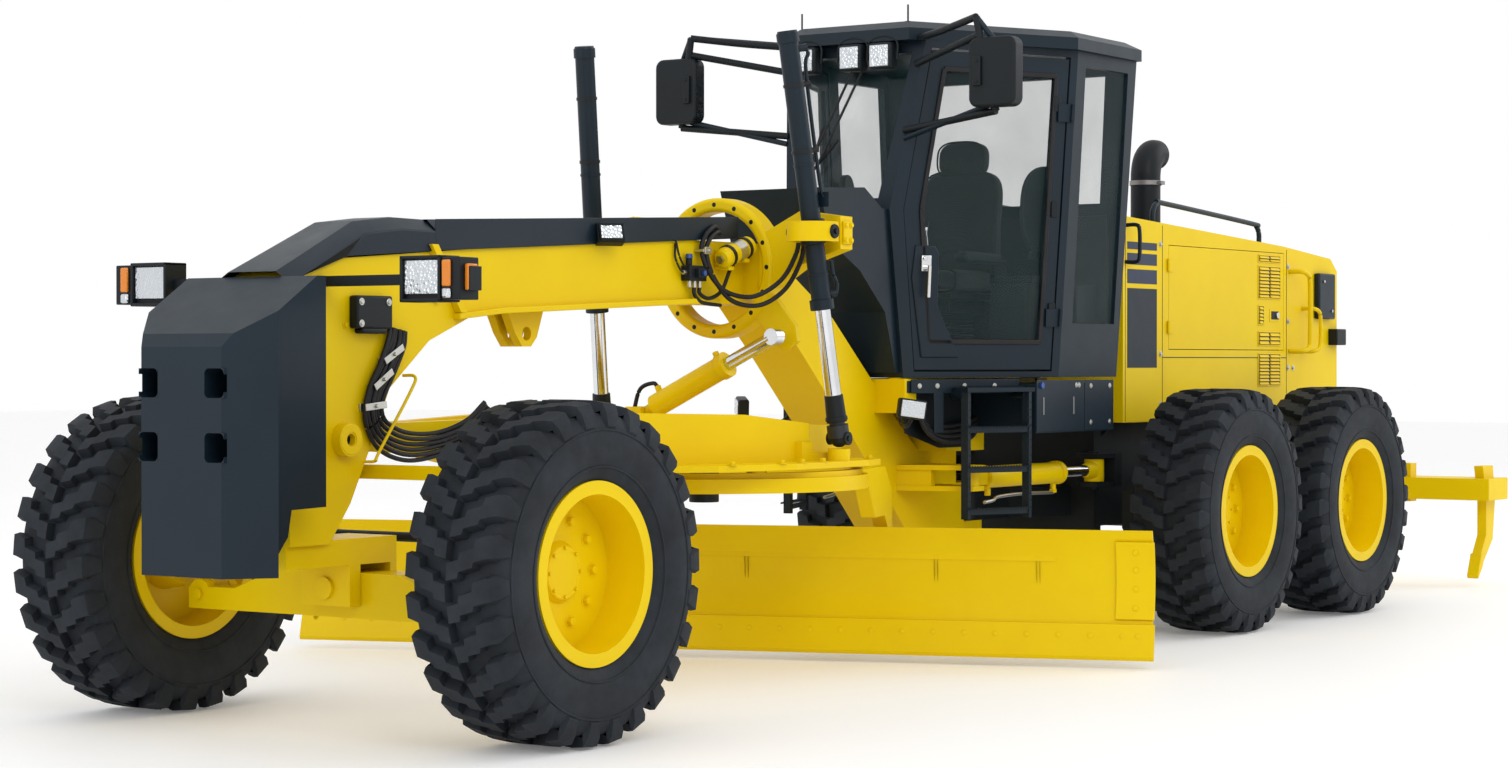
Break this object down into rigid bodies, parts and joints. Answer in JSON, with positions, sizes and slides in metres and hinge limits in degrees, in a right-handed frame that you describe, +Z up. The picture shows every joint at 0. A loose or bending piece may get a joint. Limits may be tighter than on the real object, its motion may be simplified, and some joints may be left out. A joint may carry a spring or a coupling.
{
  "type": "motor grader",
  "caption": "Articulated motor grader with tandem rear wheels, hexagonal cab, arched gooseneck, drawbar and circle carrying an angled blade, and a rear ripper.",
  "frame": {"origin": "on the ground under the middle of the front axle", "axes": "+X forward, +Y to the operator's left, +Z up"},
  "size_m": [10.835, 4.1286, 3.15],
  "materials": {
    "yellow": "gloss",
    "dark": "satin",
    "tyre": "matte",
    "chrome": "polished",
    "steel": "worn",
    "glass": "clear"
  },
  "bodies": {
    "rear": {"rear_frame": "dark", "engine_block": "dark", "hood": "yellow", "exhaust_stack": "dark", "tandem_cases": "dark"},
    "front": {"front_frame": "yellow", "counterweight": "dark", "lifter": "yellow", "front_axle": "yellow", "lights": "dark", "cab_frame": "dark", "cab_glass": "glass", "operator_station": "dark", "cab_steps": "dark"},
    "wheel_front_left": {"tyre_front_left": "tyre", "rim_front_left": "yellow"},
    "wheel_front_right": {"tyre_front_right": "tyre", "rim_front_right": "yellow"},
    "wheel_mid_left": {"tyre_mid_left": "tyre", "rim_mid_left": "yellow"},
    "wheel_mid_right": {"tyre_mid_right": "tyre", "rim_mid_right": "yellow"},
    "wheel_rear_left": {"tyre_rear_left": "tyre", "rim_rear_left": "yellow"},
    "wheel_rear_right": {"tyre_rear_right": "tyre", "rim_rear_right": "yellow"},
    "artic_tube_left": {"artic_tube_left": "yellow"},
    "artic_rod_left": {"artic_rod_left": "chrome"},
    "artic_tube_right": {"artic_tube_right": "yellow"},
    "artic_rod_right": {"artic_rod_right": "chrome"},
    "lean_bracket_left": {"lean_bracket_left": "yellow"},
    "knuckle_left": {"knuckle_left": "yellow"},
    "lean_bracket_right": {"lean_bracket_right": "yellow"},
    "knuckle_right": {"knuckle_right": "yellow"},
    "tie_rod_joint": {"tie_rod_joint": "yellow"},
    "tie_rod": {"tie_rod": "yellow"},
    "lean_bar": {"lean_bar": "yellow"},
    "drawbar_ball": {"drawbar_ball": "yellow"},
    "drawbar": {"drawbar": "yellow"},
    "yoke_left": {"yoke_left": "yellow"},
    "lift_tube_left": {"lift_tube_left": "dark"},
    "lift_rod_left": {"lift_rod_left": "chrome"},
    "yoke_right": {"yoke_right": "yellow"},
    "lift_tube_right": {"lift_tube_right": "dark"},
    "lift_rod_right": {"lift_rod_right": "chrome"},
    "shift_tube": {"shift_tube": "yellow"},
    "shift_rod": {"shift_rod": "chrome"},
    "circle": {"circle": "yellow"},
    "blade_carrier": {"blade_carrier": "yellow"},
    "blade": {"moldboard": "yellow", "cutting_edge": "steel"},
    "cab_door_left": {"cab_door_left": "dark", "door_glass_left": "glass"},
    "hood_door_left": {"hood_door_left": "yellow"},
    "cab_door_right": {"cab_door_right": "dark", "door_glass_right": "glass"},
    "hood_door_right": {"hood_door_right": "yellow"},
    "ripper": {"ripper": "yellow"},
    "ripper_tube": {"ripper_tube": "yellow"},
    "ripper_rod": {"ripper_rod": "chrome"}
  },
  "joints": [
    {"name": "spin_front_left", "type": "hinge", "parent": "knuckle_left", "child": "wheel_front_left", "pos_m": [0, 1.05, 0.656], "axis": [0, 1, 0], "continuous": true},
    {"name": "spin_front_right", "type": "hinge", "parent": "knuckle_right", "child": "wheel_front_right", "pos_m": [0, -1.05, 0.656], "axis": [0, 1, 0], "continuous": true},
    {"name": "spin_mid_left", "type": "hinge", "parent": "rear", "child": "wheel_mid_left", "pos_m": [-5.7325, 1.05, 0.656], "axis": [0, 1, 0], "continuous": true},
    {"name": "spin_mid_right", "type": "hinge", "parent": "rear", "child": "wheel_mid_right", "pos_m": [-5.7325, -1.05, 0.656], "axis": [0, 1, 0], "continuous": true},
    {"name": "spin_rear_left", "type": "hinge", "parent": "rear", "child": "wheel_rear_left", "pos_m": [-7.2575, 1.05, 0.656], "axis": [0, 1, 0], "continuous": true},
    {"name": "spin_rear_right", "type": "hinge", "parent": "rear", "child": "wheel_rear_right", "pos_m": [-7.2575, -1.05, 0.656], "axis": [0, 1, 0], "continuous": true},
    {"name": "articulation", "type": "hinge", "parent": "rear", "child": "front", "pos_m": [-4.8, 0, 0.695], "axis": [0, 0, 1], "range_deg": [-25, 25]},
    {"name": "artic_tube_swing_left", "type": "hinge", "parent": "front", "child": "artic_tube_left", "pos_m": [-4.07, 0.48, 0.87], "axis": [0, 0, 1], "range_deg": [-12, 12]},
    {"name": "artic_rod_travel_left", "type": "slide", "parent": "artic_tube_left", "child": "artic_rod_left", "axis": [-1, 0, 0], "range_m": [-0.22, 0.22]},
    {"name": "artic_tube_swing_right", "type": "hinge", "parent": "front", "child": "artic_tube_right", "pos_m": [-4.07, -0.48, 0.87], "axis": [0, 0, 1], "range_deg": [-12, 12]},
    {"name": "artic_rod_travel_right", "type": "slide", "parent": "artic_tube_right", "child": "artic_rod_right", "axis": [-1, 0, 0], "range_m": [-0.22, 0.22]},
    {"name": "lean_left", "type": "hinge", "parent": "front", "child": "lean_bracket_left", "pos_m": [0, 0.76, 0.5], "axis": [1, 0, 0], "range_deg": [-20, 20]},
    {"name": "steer_left", "type": "hinge", "parent": "lean_bracket_left", "child": "knuckle_left", "pos_m": [0, 0.76, 0.68], "axis": [0, 0, 1], "range_deg": [-49, 49]},
    {"name": "lean_right", "type": "hinge", "parent": "front", "child": "lean_bracket_right", "pos_m": [0, -0.76, 0.5], "axis": [1, 0, 0], "range_deg": [-20, 20]},
    {"name": "steer_right", "type": "hinge", "parent": "lean_bracket_right", "child": "knuckle_right", "pos_m": [0, -0.76, 0.68], "axis": [0, 0, 1], "range_deg": [-49, 49]},
    {"name": "tie_rod_turn", "type": "hinge", "parent": "knuckle_left", "child": "tie_rod_joint", "pos_m": [-0.25, 0.76, 0.7], "axis": [0, 0, 1], "range_deg": [-49, 49]},
    {"name": "tie_rod_lean", "type": "hinge", "parent": "tie_rod_joint", "child": "tie_rod", "pos_m": [-0.25, 0.76, 0.745], "axis": [1, 0, 0], "range_deg": [-20, 20]},
    {"name": "lean_bar_turn", "type": "hinge", "parent": "lean_bracket_left", "child": "lean_bar", "pos_m": [0, 0.76, 1.02], "axis": [1, 0, 0], "range_deg": [-20, 20]},
    {"name": "drawbar_raise", "type": "hinge", "parent": "front", "child": "drawbar_ball", "pos_m": [0.215, 0, 1.15], "axis": [0, 1, 0], "range_deg": [-10, 6.5]},
    {"name": "drawbar_swing", "type": "hinge", "parent": "drawbar_ball", "child": "drawbar", "pos_m": [0.215, 0, 1.15], "axis": [0, 0, -1], "range_deg": [-4, 4]},
    {"name": "yoke_tilt_left", "type": "hinge", "parent": "front", "child": "yoke_left", "pos_m": [-2.4, 0.627, 2.045], "axis": [1, 0, 0], "range_deg": [-13, 13]},
    {"name": "lift_tube_swing_left", "type": "hinge", "parent": "yoke_left", "child": "lift_tube_left", "pos_m": [-2.4, 0.627, 2.045], "axis": [0, 1, 0], "range_deg": [-5.5, 4]},
    {"name": "lift_rod_travel_left", "type": "slide", "parent": "lift_tube_left", "child": "lift_rod_left", "axis": [-0.1492, 0.0536, -0.9874], "range_m": [-0.33, 0.49]},
    {"name": "yoke_tilt_right", "type": "hinge", "parent": "front", "child": "yoke_right", "pos_m": [-2.4, -0.627, 2.045], "axis": [1, 0, 0], "range_deg": [-13, 13]},
    {"name": "lift_tube_swing_right", "type": "hinge", "parent": "yoke_right", "child": "lift_tube_right", "pos_m": [-2.4, -0.627, 2.045], "axis": [0, 1, 0], "range_deg": [-5.5, 4]},
    {"name": "lift_rod_travel_right", "type": "slide", "parent": "lift_tube_right", "child": "lift_rod_right", "axis": [-0.1492, -0.0536, -0.9874], "range_m": [-0.33, 0.49]},
    {"name": "shift_tube_swing", "type": "hinge", "parent": "drawbar", "child": "shift_tube", "pos_m": [-2.425, -0.367, 1.203], "axis": [1, 0, 0], "range_deg": [-18, 28]},
    {"name": "shift_rod_travel", "type": "slide", "parent": "shift_tube", "child": "shift_rod", "axis": [0, 0.9021, 0.4316], "range_m": [-0.18, 0.18]},
    {"name": "circle_turn", "type": "hinge", "parent": "drawbar", "child": "circle", "pos_m": [-2.43, 0, 0.915], "axis": [0, 0, 1], "range_deg": [-60, 15]},
    {"name": "blade_tip", "type": "hinge", "parent": "circle", "child": "blade_carrier", "pos_m": [-3.32457, -0.31678, 0.3], "axis": [-0.3338, 0.9426, 0], "range_deg": [-5, 40]},
    {"name": "blade_side_shift", "type": "slide", "parent": "blade_carrier", "child": "blade", "axis": [-0.3338, 0.9426, 0], "range_m": [-0.82, 0.82]},
    {"name": "cab_door_left_hinge", "type": "hinge", "parent": "front", "child": "cab_door_left", "pos_m": [-4.5862, 0.71205, 1.67515], "axis": [-0.022, 0.0561, 0.9982], "range_deg": [0, 95]},
    {"name": "hood_door_left_hinge", "type": "hinge", "parent": "rear", "child": "hood_door_left", "pos_m": [-6.106, 0.5683, 1.7], "axis": [0, 0, -1], "range_deg": [0, 110]},
    {"name": "cab_door_right_hinge", "type": "hinge", "parent": "front", "child": "cab_door_right", "pos_m": [-4.5862, -0.71205, 1.67515], "axis": [0.022, 0.0561, -0.9982], "range_deg": [0, 95]},
    {"name": "hood_door_right_hinge", "type": "hinge", "parent": "rear", "child": "hood_door_right", "pos_m": [-6.106, -0.5683, 1.7], "axis": [0, 0, 1], "range_deg": [0, 110]},
    {"name": "ripper_raise", "type": "hinge", "parent": "rear", "child": "ripper", "pos_m": [-8.64, 0, 0.62], "axis": [0, 1, 0], "range_deg": [-20, 12]},
    {"name": "ripper_tube_swing", "type": "hinge", "parent": "rear", "child": "ripper_tube", "pos_m": [-8.56, 0, 1.08], "axis": [0, 1, 0], "range_deg": [-17, 11]},
    {"name": "ripper_rod_travel", "type": "slide", "parent": "ripper_tube", "child": "ripper_rod", "axis": [-0.979, 0, -0.2038], "range_m": [-0.12, 0.16]}
  ],
  "couplings": [
    {"joint": "artic_tube_swing_left", "follows": "articulation", "ratio": -0.445},
    {"joint": "artic_rod_travel_left", "follows": "articulation", "m_per_rad": -0.476},
    {"joint": "artic_tube_swing_right", "follows": "articulation", "ratio": -0.445},
    {"joint": "artic_rod_travel_right", "follows": "articulation", "m_per_rad": 0.476},
    {"joint": "lean_right", "follows": "lean_left", "ratio": 1},
    {"joint": "steer_right", "follows": "steer_left", "ratio": 1},
    {"joint": "tie_rod_turn", "follows": "steer_left", "ratio": -1},
    {"joint": "tie_rod_lean", "follows": "lean_left", "ratio": -1},
    {"joint": "lean_bar_turn", "follows": "lean_left", "ratio": -1},
    {"joint": "yoke_tilt_left", "follows": "drawbar_swing", "ratio": 2.9},
    {"joint": "lift_tube_swing_left", "follows": "drawbar_raise", "ratio": 0.48},
    {"joint": "lift_rod_travel_left", "follows": "drawbar_raise", "m_per_rad": -2.715},
    {"joint": "yoke_tilt_right", "follows": "drawbar_swing", "ratio": 2.9},
    {"joint": "lift_tube_swing_right", "follows": "drawbar_raise", "ratio": 0.48},
    {"joint": "lift_rod_travel_right", "follows": "drawbar_raise", "m_per_rad": -2.715},
    {"joint": "shift_tube_swing", "follows": "drawbar_raise", "ratio": -2.5},
    {"joint": "shift_rod_travel", "follows": "drawbar_swing", "m_per_rad": -2.5},
    {"joint": "ripper_tube_swing", "follows": "ripper_raise", "ratio": 0.82},
    {"joint": "ripper_rod_travel", "follows": "ripper_raise", "m_per_rad": -0.42}
  ]
}
